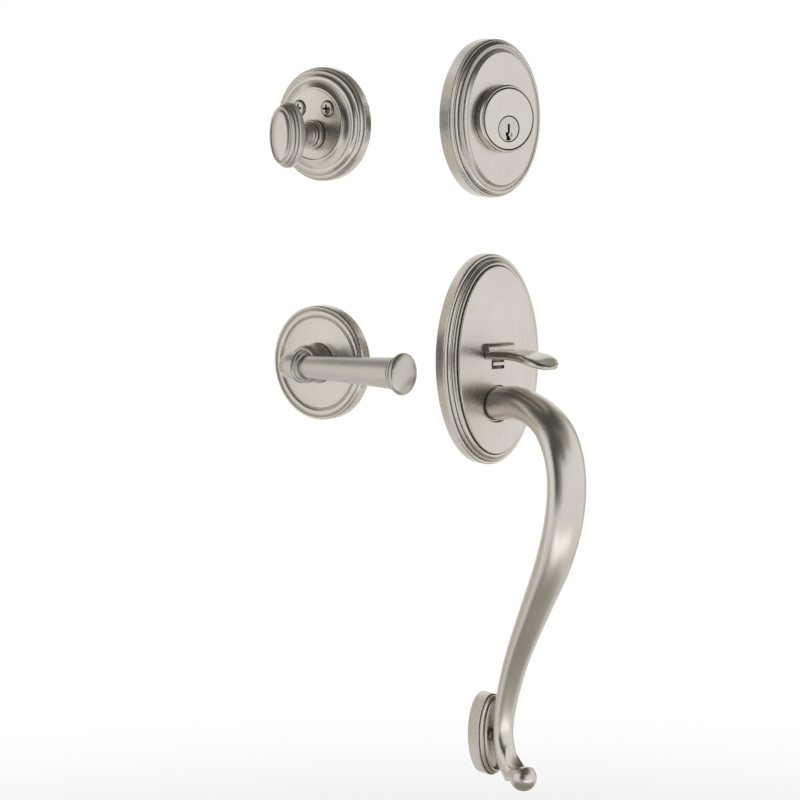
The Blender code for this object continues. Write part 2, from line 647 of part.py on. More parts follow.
# Lever: the bar is turned about its own axis and joined to the neck
bar_profile = [
    (-8.2, 0.8), (-7.6, 2.8), (-6.2, 5.0), (-4.0, 6.8), (-1.4, 7.9), (1.6, elbow_radius),
    (5.4, elbow_radius), (5.9, 7.7), (6.4, 9.1), (7.2, 9.8), (8.1, 9.4), (8.5, 8.3), (9.6, 8.6),
    (10.0, 7.8), (10.4, 6.1), (11.2, bar_root_radius), (32, 7.0), (54, 8.0), (bar_end, bar_tip_radius),
    (76.5, 8.7), (77.0, 10.0), (77.9, 10.8), (78.8, 10.6), (79.2, 10.0), (79.8, 11.2), (80.8, cap_radius),
    (82.2, cap_radius - 0.1), (83.0, 11.1), (84.2, 8.4), (85.1, 5.0), (85.5, 1.2)]
bm = bmesh.new()
bar_sections = [place((reach, 0, bar_out), axis_y, axis_z, radius, radius) for reach, radius in bar_profile]
loft(bm, bar_sections, middling)
lever = make("lever_handle", bm, inside, sharp=30)
hub_radius = 8.0                      # behind the rose, in the mounting plate
journal_radius = neck_bore - 0.5      # where the neck turns in the rose
neck_profile = [
    (6.9, -7.0), (6.9, -4.4), (hub_radius, -4.4), (hub_radius, 1.0), (journal_radius, 1.0),
    (journal_radius, 8.3), (11.6, 8.3), (11.8, 9.2), (11.2, 10.0), (10.6, 11.0), (10.4, 17.0),
    (11.0, 17.5), (11.2, 18.3), (10.8, 19.1), (10.2, 19.4), (10.5, 20.1), (10.2, 20.9), (9.2, 21.3),
    (7.7, 23.0), (7.4, bar_out + 0.6)]
combine(lever, turned("lever_neck", neck_profile, inside, phase=0.5), 'UNION')
socket_side = spindle_half + 0.2
socket_end = spindle_high + clearance
socket_corner = (socket_side, socket_side, socket_end)
socket = box("spindle_socket", (-socket_side, -socket_side, -8), socket_corner, inside)
combine(lever, socket, 'DIFFERENCE')
box("lever_spindle", (-spindle_half, -spindle_half, spindle_low), (spindle_half, spindle_half, spindle_high),
    inside, bevel=0.4, colour=zinc_steel)

# Mounting plate, return spring in its cup, and the clip that keeps the lever in
centre = (0, 0, 0)
lever_plate = washer("lever_mount_plate", hub_radius + clearance, mount_radius, 0.8, 2.0, inside, centre,
                     colour=zinc_steel)
cup_profile = [(16.6, -1.5), (17.6, -1.5), (17.6, -8.5), (6.3, -8.5), (6.3, -7.4), (16.6, -7.4)]
turned("lever_spring_cup", cup_profile, inside, closed=True, colour=zinc_steel)
coil("lever_spring", (0, 0, -2.6), axis_z * -1, axis_x, axis_y, lever_spring_radius, 0.8, 1.7, 2, inside, 18)
washer("lever_clip", 7.2, 9.6, -4.7, 1.2, inside, centre, colour=spring_steel)
for side, name in ((1, "top"), (-1, "bottom")):
    spot = (0, side * 21.0, 0)
    mount_hole = drill("mount_hole_" + name, 2.6, -3, 3, inside, spot, segments=coarse)
    combine(lever_plate, mount_hole, 'DIFFERENCE')
    lever_screw_profile = [(1.6, -20.6), (2.2, -20), (2.2, 1.1), (3.8, 1.1), (3.8, 2.2), (3.0, 2.8)]
    turned("lever_screw_" + name, lever_screw_profile, inside, spot, coarse, colour=zinc_steel)
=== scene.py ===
import json
from math import cos, hypot, pi, radians, sin

import bmesh
import bpy
from mathutils import Matrix, Vector


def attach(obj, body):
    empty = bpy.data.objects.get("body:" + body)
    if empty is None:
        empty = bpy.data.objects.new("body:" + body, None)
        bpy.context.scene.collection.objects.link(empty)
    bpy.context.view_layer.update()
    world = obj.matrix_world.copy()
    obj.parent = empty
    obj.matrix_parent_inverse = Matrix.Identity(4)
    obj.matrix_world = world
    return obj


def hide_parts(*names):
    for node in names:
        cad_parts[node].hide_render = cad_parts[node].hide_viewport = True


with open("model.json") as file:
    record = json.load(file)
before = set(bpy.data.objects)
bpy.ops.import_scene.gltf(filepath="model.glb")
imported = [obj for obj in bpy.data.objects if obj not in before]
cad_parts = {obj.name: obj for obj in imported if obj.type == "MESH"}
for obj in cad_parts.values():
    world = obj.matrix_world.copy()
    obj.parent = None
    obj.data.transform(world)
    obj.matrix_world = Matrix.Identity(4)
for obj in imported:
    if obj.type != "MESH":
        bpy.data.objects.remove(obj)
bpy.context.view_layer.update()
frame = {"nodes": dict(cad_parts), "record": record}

# Sizes are in millimetres, and each half has its own frame: X to the right, Y up, Z out of the door
millimetre = 0.001
axisX = Vector((1, 0, 0))
axisY = Vector((0, 1, 0))
axisZ = Vector((0, 0, 1))

layout = {
    "insideTurn": -73.4,                    # the inside half stands beside the outside half, turned
    "insidePlace": (-75.6, 54.0, -2.0),
    "outsideSpacing": 141.2,                # latch bore to deadbolt bore
    "insideSpacing": 139.8,
    "turnShift": 1.2,
    "turnDrop": 5.8,                        # key plug and knob below the middle of their rose
    "footHeight": -223.2,                   # lower base
    "gap": 0.3,                             # between neighbouring pieces
}
gap = layout["gap"]


def halfFrame(place, turn):
    where = Matrix.Translation(Vector(place) * millimetre)
    return where @ Matrix.Rotation(radians(turn), 4, "Z") @ Matrix.Rotation(radians(90), 4, "X")


outsideHalf = halfFrame((0, 0, 0), 0)
insideHalf = halfFrame(layout["insidePlace"], layout["insideTurn"])
boltCentre = (0, layout["outsideSpacing"])
plugCentre = (0, layout["outsideSpacing"] - layout["turnDrop"])
footCentre = (0, layout["footHeight"])
turnCentre = (layout["turnShift"], layout["insideSpacing"])
shaftCentre = (layout["turnShift"], layout["insideSpacing"] - layout["turnDrop"])

# Facets round a piece
facets = {
    "plate": 144, "ring": 128, "knob": 112, "bar": 96, "cast": 72, "small": 64,
    "screwHole": 48, "smallHole": 32, "hiddenHole": 24,
}
# Where cuts start and end: behind a plate, in its hollow, just past a face and beyond everything
behind, hollow, past, beyond = -1, 5, 2, 30
crease = {"turned": 32, "cast": 40, "scooped": 50}      # degrees from which an edge stays sharp


# A socket of a shader, so that sums and products of sockets are written as such
class Wire:
    def __init__(self, board, socket):
        self.board = board
        self.socket = socket

    def work(self, operation, other):
        return self.board.node("ShaderNodeMath", {"operation": operation}, {0: self, 1: other})

    def __add__(self, other):
        return self.work("ADD", other)

    def __mul__(self, other):
        return self.work("MULTIPLY", other)

    __radd__ = __add__
    __rmul__ = __mul__

    def sibling(self, output):
        return Wire(self.board, self.socket.node.outputs[output])


class Board:
    def __init__(self, tree):
        self.tree = tree

    def node(self, kind, settings=None, inputs=None, output=0):
        made = self.tree.nodes.new(kind)
        for name, value in (settings or {}).items():
            setattr(made, name, value)
        for key, value in (inputs or {}).items():
            if isinstance(value, Wire):
                self.link(value, made.inputs[key])
            else:
                made.inputs[key].default_value = value
        return Wire(self, made.outputs[output])

    def mix(self, factor, first, second):
        inputs = {0: factor, 6: first, 7: second}
        return self.node("ShaderNodeMix", {"data_type": "RGBA"}, inputs, 2)

    def objectPlace(self):
        return self.node("ShaderNodeTexCoord", output="Object")

    def link(self, wire, socket):
        self.tree.links.new(wire.socket, socket)


# Rings: an oval or round outline, grown section by section
def plainOutline(angle):
    return cos(angle), sin(angle)


def sectionFrame(centre, across, up, halfAcross, halfUp):
    columns = (across * halfAcross, up * halfUp, across.cross(up))
    made = Matrix(columns).transposed().to_4x4()
    made.translation = Vector(centre)
    return made


def growRings(sections, segments, closed=False):
    mesh = bmesh.new()
    # each ring carries a painted shade value that darkens its grooves and bore edges where shade
    # falls
    paintedShade = mesh.verts.layers.float.new("paintedShade")
    ring = bmesh.ops.create_circle(mesh, segments=segments, radius=1.0)["verts"]
    edges = [mesh.edges.get((ring[k - 1], ring[k])) for k in range(segments)]
    firstEdges = edges
    for count, (place, outline, dark) in enumerate(sections + (sections[:1] if closed else [])):
        if count:
            grown = bmesh.ops.extrude_edge_only(mesh, edges=edges)["geom"]
            fresh = {part for part in grown if isinstance(part, bmesh.types.BMVert)}
            ring = [next(edge.other_vert(vert) for edge in vert.link_edges
                         if edge.other_vert(vert) in fresh) for vert in ring]
            edges = [mesh.edges.get((ring[k - 1], ring[k])) for k in range(segments)]
        for k, vert in enumerate(ring):
            vert.co = place @ Vector((*outline(2 * pi * k / segments), 0))
            vert[paintedShade] = dark
    if closed:
        bmesh.ops.remove_doubles(mesh, verts=mesh.verts, dist=1e-4)
    else:
        bmesh.ops.contextual_create(mesh, geom=firstEdges)
        bmesh.ops.contextual_create(mesh, geom=edges)
    return mesh


# A profile's corners are (inset, height, bulge, painted shade): the bulge rounds the run up to a
# corner, the painted shade darkens grooves and bore edges where shade falls, and a bulge and
# painted shade that are left out are 0
def traceProfile(corners, steps=6):
    padded = [tuple(corner) + (0, 0)[len(corner) - 2:] for corner in corners]
    points = [(padded[0][0], padded[0][1], padded[0][3])]
    for start, end in zip(padded, padded[1:]):
        run, rise = end[0] - start[0], end[1] - start[1]
        count = steps if end[2] else 1
        for k in range(1, count + 1):
            share = k / count
            lift = 4 * end[2] * share * (1 - share) / hypot(run, rise)
            points.append((start[0] + run * share - rise * lift,
                           start[1] + rise * share + run * lift,
                           start[3] + (end[3] - start[3]) * share))
    return points


def ovalRings(halfWide, halfTall, corners):
    return [(sectionFrame((0, 0, height), axisX, axisY, halfWide - inset, halfTall - inset),
             plainOutline, dark) for inset, height, dark in traceProfile(corners)]


def radiiAsInsets(corners):
    return [(-corner[0], *corner[1:]) for corner in corners]


# The same for a turned piece, whose corners start with a radius
def turnedRings(corners):
    return ovalRings(0, 0, radiiAsInsets(corners))


# Faces of the first material are bare metal, those of the second lie in a recess and get a dark
# nickel that paints the recess's shade
def finishPiece(name, mesh, half, centre=(0, 0), sharp=crease["turned"], recess=False):
    bmesh.ops.recalc_face_normals(mesh, faces=mesh.faces)
    where = half @ Matrix.Scale(millimetre, 4) @ Matrix.Translation((*centre, 0))
    bmesh.ops.transform(mesh, matrix=where, verts=mesh.verts)
    data = bpy.data.meshes.new(name)
    mesh.to_mesh(data)
    mesh.free()
    data.shade_smooth()
    data.set_sharp_from_angle(angle=radians(sharp))
    data.materials.append(None)
    data.materials.append(None)
    for face in data.polygons:
        face.material_index = 1 if recess else 0
    piece = bpy.data.objects.new(name, data)
    bpy.context.scene.collection.objects.link(piece)
    return piece


# A block, whose upper front edge can have a larger round than the rest
def boxTool(low, high, half, centre=(0, 0), recess=False, bevel=0.0, nose=0.0):
    mesh = bmesh.new()
    middle = [(a + b) / 2 for a, b in zip(low, high)]
    extent = Matrix.Diagonal((*(b - a for a, b in zip(low, high)), 1))
    bmesh.ops.create_cube(mesh, size=1.0, matrix=Matrix.Translation(middle) @ extent)
    if nose:
        top, front = high[1] - 0.01, high[2] - 0.01
        edges = [edge for edge in mesh.edges
                 if all(vert.co.y > top and vert.co.z > front for vert in edge.verts)]
        bmesh.ops.bevel(mesh, geom=edges, offset=nose, segments=8, profile=0.5, affect="EDGES",
                        material=-1)
    if bevel:
        edges = [edge for edge in mesh.edges if edge.calc_face_angle(0) > 0.5]
        bmesh.ops.bevel(mesh, geom=edges, offset=bevel, segments=4, profile=0.5, affect="EDGES",
                        material=-1)
    return finishPiece("tool", mesh, half, centre, recess=recess)


def drillTool(radius, low, high, half, centre=(0, 0), top=None, segments=facets["small"],
              recess=True):
    rings = turnedRings([(radius, low), (top or radius, high)])
    return finishPiece("tool", growRings(rings, segments), half, centre, recess=recess)


# Cuts or joins a piece and leaves a plain mesh
def combine(piece, tool, operation="DIFFERENCE", sharp=crease["turned"]):
    step = piece.modifiers.new("shape", "BOOLEAN")
    step.operation = operation
    step.solver = "EXACT"
    step.object = tool
    evaluated = piece.evaluated_get(bpy.context.evaluated_depsgraph_get())
    shaped = bpy.data.meshes.new_from_object(evaluated)
    piece.modifiers.clear()
    piece.data = shaped
    shaped.name = piece.name
    shaped.set_sharp_from_angle(angle=radians(sharp))
    bpy.data.objects.remove(tool)
    return piece


# Finishes
nickel = {
    "light": (0.70, 0.658, 0.60),
    "deep": (0.59, 0.553, 0.505),
    # painted shade: the near-black blended in over grooves, bore edges and gaps by the per-vertex
    # value
    "paintedShade": (0.045, 0.038, 0.030),
    "paintedShadePower": 1.5,                    # the higher, the less painted shade in the shallow grooves
    "paintedShadeRough": 0.25,
    # painted shade: the tone of the nickel on faces inside slots, holes and sockets
    "recessShadeTone": 0.16,
    "recessRoughness": 0.5,
    "roughness": 0.27,
    "grain": 0.10,                          # how much the roughness follows the grain
    "bump": 0.10,
    "bumpHeight": 0.0001,                   # metres
    "clouds": 0.05,                         # broad changes of tone, per millimetre
    "cloudShare": 0.35,
}
# Grain lines per millimetre, across, up and out of the door, or by radius, angle and out
grains = {"upright": (3.0, 0.07, 3.0), "along": (0.05, 2.8, 2.8), "round": (3.2, 1.6, 3.0)}


def scaled(colour, factor):
    return (*(part * factor for part in colour), 1)


def startMaterial(name):
    material = bpy.data.materials.new(name)
    material.use_nodes = True
    shader = material.node_tree.nodes["Principled BSDF"]
    return material, Board(material.node_tree), shader


def wireMetal(board, shader, colour, roughness, height, bump):
    bumped = board.node("ShaderNodeBump", inputs={
        "Strength": bump, "Distance": nickel["bumpHeight"], "Height": height})
    board.link(colour, shader.inputs["Base Color"])
    board.link(roughness, shader.inputs["Roughness"])
    board.link(bumped, shader.inputs["Normal"])
    shader.inputs["Metallic"].default_value = 1.0


# Grain runs "upright", "round" an axis or "along" a bar, in the frame of its half
def nickelFinish(name, half, centre=(0, 0), grain="upright", tone=1.0,
                 roughness=nickel["roughness"]):
    material, board, shader = startMaterial(name)
    middle = half @ Matrix.Scale(millimetre, 4) @ Vector((*centre, 0))
    local = board.node("ShaderNodeMapping", {"vector_type": "TEXTURE"}, {
        0: board.objectPlace(), "Location": middle, "Rotation": half.to_euler(),
        "Scale": (millimetre, millimetre, millimetre)})
    parts = board.node("ShaderNodeSeparateXYZ", inputs={0: local})
    ways = [parts.sibling(k) for k in range(3)]
    if grain == "round":
        across, up, out = ways
        radius = (across * across + up * up).work("POWER", 0.5)
        perRadius, perAngle, perOut = grains["round"]
        run = {0: radius * perRadius + out * perOut, 1: up.work("ARCTAN2", across) * perAngle}
    else:
        run = {k: way * count for k, (way, count) in enumerate(zip(ways, grains[grain]))}
    lines = board.node("ShaderNodeCombineXYZ", inputs=run)
    fine = board.node("ShaderNodeTexNoise", inputs={
        "Vector": lines, "Scale": 1.0, "Detail": 5.0, "Roughness": 0.65})
    broad = board.node("ShaderNodeTexNoise", inputs={
        "Vector": local, "Scale": nickel["clouds"], "Detail": 3.0})
    mixed = fine * (1 - nickel["cloudShare"]) + broad * nickel["cloudShare"]
    shade = board.node("ShaderNodeMapRange", {"clamp": True}, {0: mixed, 1: 0.3, 2: 0.7})
    metal = board.mix(shade, scaled(nickel["deep"], tone), scaled(nickel["light"], tone))
    # painted shade: grooves, bore edges and gaps darken towards near black and get rougher
    groove = board.node("ShaderNodeAttribute", {"attribute_name": "paintedShade"}, output="Fac")
    dark = groove.work("POWER", nickel["paintedShadePower"])
    shadedMetal = board.mix(dark, metal, (*nickel["paintedShade"], 1))
    worn = fine * nickel["grain"] + (roughness - nickel["grain"] / 2)
    worn = worn + dark * nickel["paintedShadeRough"]
    wireMetal(board, shader, shadedMetal, worn, fine, nickel["bump"])
    return material


fixing = {
    "darkest": 0.8, "lightest": 1.12, "wear": 0.16, "bump": 0.12,
    "plated": ((0.56, 0.57, 0.58), 0.32, 700),          # colour, roughness and spots per metre
    "sprung": ((0.30, 0.30, 0.31), 0.30, 900),
    "brass": ((0.78, 0.58, 0.28), 0.28, 500),
}


# Plated steel, spring steel and turned brass for what sits behind the plates
def fixingFinish(name, colour, roughness, spots):
    material, board, shader = startMaterial(name)
    cloud = board.node("ShaderNodeTexNoise", inputs={
        "Vector": board.objectPlace(), "Scale": spots, "Detail": 6.0})
    darkest, lightest = scaled(colour, fixing["darkest"]), scaled(colour, fixing["lightest"])
    worn = cloud * fixing["wear"] + (roughness - fixing["wear"] / 2)
    wireMetal(board, shader, board.mix(cloud, darkest, lightest), worn, cloud, fixing["bump"])
    return material


# painted shade: a dark copy of the nickel (tone 0.16) for faces inside slots, holes and sockets
shadedRecessNickel = nickelFinish("nickel with painted recess shade", outsideHalf, tone=nickel["recessShadeTone"],
                            roughness=nickel["recessRoughness"])


def dress(piece, finish, body="set", replaced=()):
    piece.data.materials[0] = finish
    if any(face.material_index for face in piece.data.polygons):
        piece.data.materials[1] = shadedRecessNickel
    else:
        piece.data.materials.pop(index=1)
    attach(piece, body)
    if replaced:
        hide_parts(*replaced)
    return piece


# A hollow oval plate, from the lip inside it round its back edge to the panel
def mouldedPlate(name, size, centre):
    skin = size["skin"]
    width, face = size["moulding"][-1][:2]
    panel = width + 0.6
    corners = [(panel, face - skin), (skin, size["wall"] - skin), (skin - 0.4, 0)]
    corners += [(0.15, 0), (0, 0.15)] + size["moulding"] + [(panel, face)]
    rings = ovalRings(size["halfWide"], size["halfTall"], corners)
    return finishPiece(name, growRings(rings, facets["plate"]), outsideHalf, centre)


# Outside deadbolt: oval plate, collar, cylinder and key plug
boltPlate = {
    "halfWide": 32.5, "halfTall": 46.1, "wall": 12.6, "skin": 2.8,
    "moulding": [
        (0, 8.9), (0.12, 9.2, 0.03, 0.2), (0.3, 9.4, 0, 0.7), (0.3, 9.65, 0, 0.7),
        (0.05, 10.0, 0, 0.1), (0.3, 11.9, 0.1), (1.25, 12.7, 0.22), (1.4, 12.4, 0, 0.6),
        (1.65, 12.35, 0, 0.7), (1.75, 13.3, 0, 0.15), (3.0, 15.2, 0.3), (4.1, 15.3, 0.25),
        (4.3, 14.95, 0, 0.5), (4.5, 14.9, 0, 0.4), (6.9, 16.4, -0.5), (7.35, 17.5, -0.05, 0.15),
        (7.8, 17.9, 0.1)],
}
cylinder = {
    "collarRadius": 19.7, "headRadius": 17.7, "face": 24.0,
    "barrelRadius": 13.0, "barrelDrop": 2.5, "barrelEnd": -26.0,
    "plugRadius": 7.5, "neckInset": 1.9, "neckLength": 2.6,
    "keyway": [                             # low and high corner of each run of the bent slot
        ((-0.75, -2.2, -2), (0.75, 2.9, beyond)), ((-2.2, -3.3, -1.9), (0.7, -1.9, beyond)),
        ((-2.1, -4.2, -1.8), (-0.3, -3.1, beyond)), ((-1.6, -5.4, -1.7), (0.6, -3.9, beyond)),
        ((-1.7, -6.7, -1.6), (1.2, -5.1, beyond))],
    "pocketRadius": 1.35, "pocketPlace": (1.2, -3.2), "pocketDepth": 0.6,
}
barrelCentre = (0, boltCentre[1] - cylinder["barrelDrop"])
panelNickel = nickelFinish("brushed nickel upright", outsideHalf)
plate = mouldedPlate("bolt_plate", boltPlate, boltCentre)
barrelHole = drillTool(cylinder["barrelRadius"] + gap, behind, beyond, outsideHalf, barrelCentre)
dress(combine(plate, barrelHole), panelNickel, replaced=["deadbolt_plate"])

seat = boltPlate["moulding"][-1][1] + gap
face = cylinder["face"]
outer = cylinder["collarRadius"]
bore = cylinder["headRadius"] + gap
collar = growRings(turnedRings([
    (bore, seat, 0, 1), (outer, seat, 0, 0.6), (outer, seat + 0.5), (outer, face - 2.0),
    (outer - 0.5, face - 0.6, 0.12), (outer - 1.0, face - 0.2, 0.06), (bore + 0.35, face - 0.3),
    (bore + 0.1, face - 0.6, 0.05, 0.8), (bore, face - 1.6, 0, 1)]), facets["ring"], closed=True)
dress(finishPiece("cylinder_ring", collar, outsideHalf, boltCentre), panelNickel,
      replaced=["cylinder_collar"])

radius = cylinder["headRadius"]
head = finishPiece("cylinder_head", growRings(turnedRings([
    (radius, seat, 0, 1), (radius, face - 0.8, 0, 1), (radius - 0.12, face - 0.4, 0.05, 0.7),
    (radius - 0.5, face, 0.06), (radius - 0.8, face)]), facets["ring"]), outsideHalf, boltCentre)
radius, end = cylinder["barrelRadius"], cylinder["barrelEnd"]
barrel = finishPiece("tool", growRings(turnedRings([
    (radius - 0.8, end), (radius, end + 0.8), (radius, seat + 1)]), facets["cast"]),
    outsideHalf, barrelCentre)
combine(head, barrel, "UNION")
radius = cylinder["plugRadius"]
combine(head, drillTool(radius + gap, end - past, face + past, outsideHalf, plugCentre))
dress(head, nickelFinish("fine nickel upright", outsideHalf, tone=1.03),
      replaced=["cylinder_body"])

neckRadius = radius - cylinder["neckInset"]
plug = finishPiece("key_barrel", growRings(turnedRings([
    (neckRadius, end - cylinder["neckLength"]), (neckRadius, end), (radius, end),
    (radius, face - 0.7, 0, 1), (radius - 0.3, face - 0.2, 0.05, 0.7), (radius - 0.6, face - 0.1),
    (radius - 0.9, face - 0.1)]), facets["bar"]), outsideHalf, plugCentre)
for low, high in cylinder["keyway"]:
    combine(plug, boxTool(low, high, outsideHalf, plugCentre, recess=True))
pocketAcross, pocketUp = cylinder["pocketPlace"]
pocket = drillTool(cylinder["pocketRadius"], face - cylinder["pocketDepth"], beyond, outsideHalf,
                   (pocketAcross, plugCentre[1] + pocketUp), segments=facets["smallHole"],
                   recess=False)
combine(plug, pocket)
dress(plug, nickelFinish("plug nickel", outsideHalf, tone=0.93), "plug", ["key_plug"])
print("deadbolt made")

# Outside grip plate
gripPlate = {
    "halfWide": 35.0, "halfTall": 62.0, "wall": 8.6, "skin": 2.8,
    "rootRadius": 9.9, "rootHeight": -25.6, "recess": 1.8, "recessGap": 0.45, "recessFlare": 2.1,
    "studRadius": 4.0,
    "slotHalfWide": 4.6, "slotLow": -5.0, "slotHigh": 6.6,
    "screwRadius": 1.5, "screwAcross": 11.6, "screwUp": 7.7, "screwDepth": 1.7,
    "moulding": [
        (0, 7.4), (0.4, 8.2, 0.08), (1.65, 8.6, 0.05), (1.8, 8.1, 0, 0.6), (2.0, 8.1, 0, 0.7),
        (2.1, 9.2, 0, 0.15), (2.5, 10.3, 0.1), (3.3, 10.9, 0.15), (3.45, 10.4, 0, 0.6),
        (3.65, 10.4, 0, 0.7), (3.75, 11.2, 0, 0.15), (4.6, 12.4, 0.2), (6.0, 12.7, 0.25),
        (6.3, 12.2, 0.05, 0.4), (6.45, 11.8, 0, 0.7), (6.6, 11.8, 0, 0.7), (6.75, 13.7, 0, 0.2),
        (7.2, 14.2, 0.12)],
}
rootCentre = (0, gripPlate["rootHeight"])
face = gripPlate["moulding"][-1][1]
top = face + past
plate = mouldedPlate("latch_plate", gripPlate, (0, 0))
combine(plate, drillTool(gripPlate["rootRadius"] + gripPlate["recessGap"],
                         face - gripPlate["recess"], top, outsideHalf, rootCentre,
                         top=gripPlate["rootRadius"] + gripPlate["recessFlare"],
                         segments=facets["bar"], recess=False))
combine(plate, drillTool(gripPlate["studRadius"] + gap, 0, top, outsideHalf, rootCentre))
side = gripPlate["slotHalfWide"]
combine(plate, boxTool((-side, gripPlate["slotLow"], hollow), (side, gripPlate["slotHigh"], top),
                       outsideHalf, recess=True))
for side in (-1, 1):
    spot = (side * gripPlate["screwAcross"], gripPlate["screwUp"])
    combine(plate, drillTool(gripPlate["screwRadius"], hollow,
                             face - gripPlate["skin"] + gripPlate["screwDepth"], outsideHalf,
                             spot, segments=facets["hiddenHole"]))
dress(plate, panelNickel, replaced=["grip_plate"])


# Smooth run through key sections of (out, height, half width, half thickness)
def smoothRun(keys, steps):
    keys = [Vector(key) for key in keys]
    padded = [2 * keys[0] - keys[1]] + keys + [2 * keys[-1] - keys[-2]]
    run = []
    for before, start, end, after in zip(padded, padded[1:], padded[2:], padded[3:]):
        bend = 2 * before - 5 * start + 4 * end - after
        twist = 3 * start - before - 3 * end + after
        for step in range(steps):
            share = step / steps
            run.append(0.5 * (2 * start + (end - before) * share
                              + bend * share ** 2 + twist * share ** 3))
    return run + [keys[-1]]


def sweepRings(keys, steps, outlineAt, start=None):
    run = smoothRun(keys, steps)
    rings = []
    for k, (out, height, halfWide, halfThick) in enumerate(run):
        ahead, before = run[min(k + 1, len(run) - 1)], run[max(k - 1, 0)]
        along = Vector((0, ahead[1] - before[1], ahead[0] - before[0])).normalized()
        if k == 0 and start:
            along = start
        place = sectionFrame((0, height, out), axisX, along.cross(axisX), halfWide, halfThick)
        rings.append((place, outlineAt(k / (len(run) - 1)), 0.0))
    return rings, along


# An outline between an ellipse (power 2) and a box, with a flatter or hollow upper side
def softOutline(power, flat=1.0, dip=0.0):
    def outline(angle):
        across = abs(cos(angle)) ** (2 / power) * (1 if cos(angle) >= 0 else -1)
        up = abs(sin(angle)) ** (2 / power) * (1 if sin(angle) >= 0 else -1)
        if up > 0:
            up -= dip * (1 - across * across)
        return across, up * flat if up > 0 else up
    return outline


def rampUp(value, low, high):
    return min(max((value - low) / (high - low), 0), 1)


# Cast grip: round root, broad middle and a ball at its end
grip = {
    "keys": [
        (12.7, -25.6, 9.9, 9.9), (34.0, -23.6, 10.4, 9.5), (55.5, -28.6, 12.0, 8.7),
        (70.6, -39.5, 12.7, 8.4), (79.0, -60.0, 12.8, 8.3), (77.5, -86.0, 12.5, 8.4),
        (67.6, -114.0, 11.6, 8.0), (51.2, -143.0, 9.6, 6.9), (34.6, -173.0, 7.9, 6.0),
        (24.4, -199.0, 7.0, 5.6), (20.4, -220.0, 6.4, 5.6), (23.6, -234.2, 6.4, 6.5),
        (32.0, -243.2, 6.7, 7.4)],
    "flat": 0.16, "square": 0.8,            # how far the front of the middle is flattened
    "ballRadius": 7.95, "ballCentre": (0, -244.2, 40.0), "ballNeck": 112, "ballSteps": 20,
    "scoopCentre": (0, -231.6, 33.2), "scoopHalf": (9.5, 10.0, 5.6), "scoopTilt": -24,
    "studGap": 0.25, "studEnd": 26, "screwRadius": 2.6, "screwEnd": 19,
}


def gripOutline(part):
    flatness = rampUp(part, 0.35, 0.6) * rampUp(0.97 - part, 0, 0.12)
    squareness = flatness * (1 - 0.8 * rampUp(part, 0.58, 0.8))
    return softOutline(2.0 + grip["square"] * squareness, 1 - grip["flat"] * flatness)


rings, along = sweepRings(grip["keys"], 8, gripOutline, axisZ)
for step in range(1, grip["ballSteps"]):
    turn = radians(grip["ballNeck"] * (1 - step / grip["ballSteps"]))
    radius = grip["ballRadius"] * sin(turn)
    centre = Vector(grip["ballCentre"]) + along * grip["ballRadius"] * cos(turn)
    rings.append((sectionFrame(centre, axisX, along.cross(axisX), radius, radius),
                  plainOutline, 0.0))
handle = finishPiece("cast_grip", growRings(rings, facets["cast"]), outsideHalf,
                     sharp=crease["cast"])
combine(handle, drillTool(gripPlate["studRadius"] + grip["studGap"], hollow, grip["studEnd"],
                          outsideHalf, rootCentre, segments=facets["smallHole"]))
combine(handle, drillTool(grip["screwRadius"], hollow, grip["screwEnd"], outsideHalf, footCentre,
                          segments=facets["smallHole"]))
scoop = bmesh.new()
scoopTurn = Matrix.Rotation(radians(grip["scoopTilt"]), 4, "X")
scoopForm = Matrix.Translation(grip["scoopCentre"]) @ scoopTurn
scoopForm = scoopForm @ Matrix.Diagonal((*grip["scoopHalf"], 1))
bmesh.ops.create_uvsphere(scoop, u_segments=64, v_segments=40, radius=1.0, matrix=scoopForm)
combine(handle, finishPiece("tool", scoop, outsideHalf), sharp=crease["scooped"])
dress(handle, nickelFinish("grip nickel", outsideHalf, roughness=0.29), replaced=["grip_handle"])

# Lower base
lowerBase = {
    "halfWide": 11.0, "halfTall": 24.6, "wall": 10.4, "rim": 14.6, "dish": 11.4, "skin": 2.8,
    "sideSkin": 2.2, "screwRadius": 2.7, "screwStart": 2, "screwEnd": 20,
}
wall, rim, dish = lowerBase["wall"], lowerBase["rim"], lowerBase["dish"]
skin, sideSkin = lowerBase["skin"], lowerBase["sideSkin"]
corners = [
    (6.2, dish - skin), (sideSkin, wall - skin), (sideSkin, 0), (0.1, 0), (0, 0.1),
    (0, wall - 0.6), (0.35, wall, 0.08), (0.5, wall - 0.1, 0, 0.4), (0.6, wall - 0.4, 0, 0.7),
    (0.8, wall - 0.3, 0, 0.7), (0.9, wall + 0.6), (1.9, wall + 2.75, 0.3),
    (2.2, wall + 2.6, 0, 0.4), (2.3, wall + 2.3, 0, 0.7), (2.5, wall + 2.4, 0, 0.7),
    (2.6, rim - 0.9), (3.3, rim, 0.2), (3.8, rim - 0.2, 0.05), (4.5, rim - 1.5, -0.1),
    (5.8, dish + 0.2, -0.25, 0.3), (7.0, dish, 0, 0.5)]
rings = ovalRings(lowerBase["halfWide"], lowerBase["halfTall"], corners)
base = finishPiece("foot_plate", growRings(rings, facets["ring"]), outsideHalf, footCentre)
combine(base, drillTool(lowerBase["screwRadius"], lowerBase["screwStart"], lowerBase["screwEnd"],
                        outsideHalf, footCentre, segments=facets["hiddenHole"]))
dress(base, panelNickel, replaced=["lower_base"])

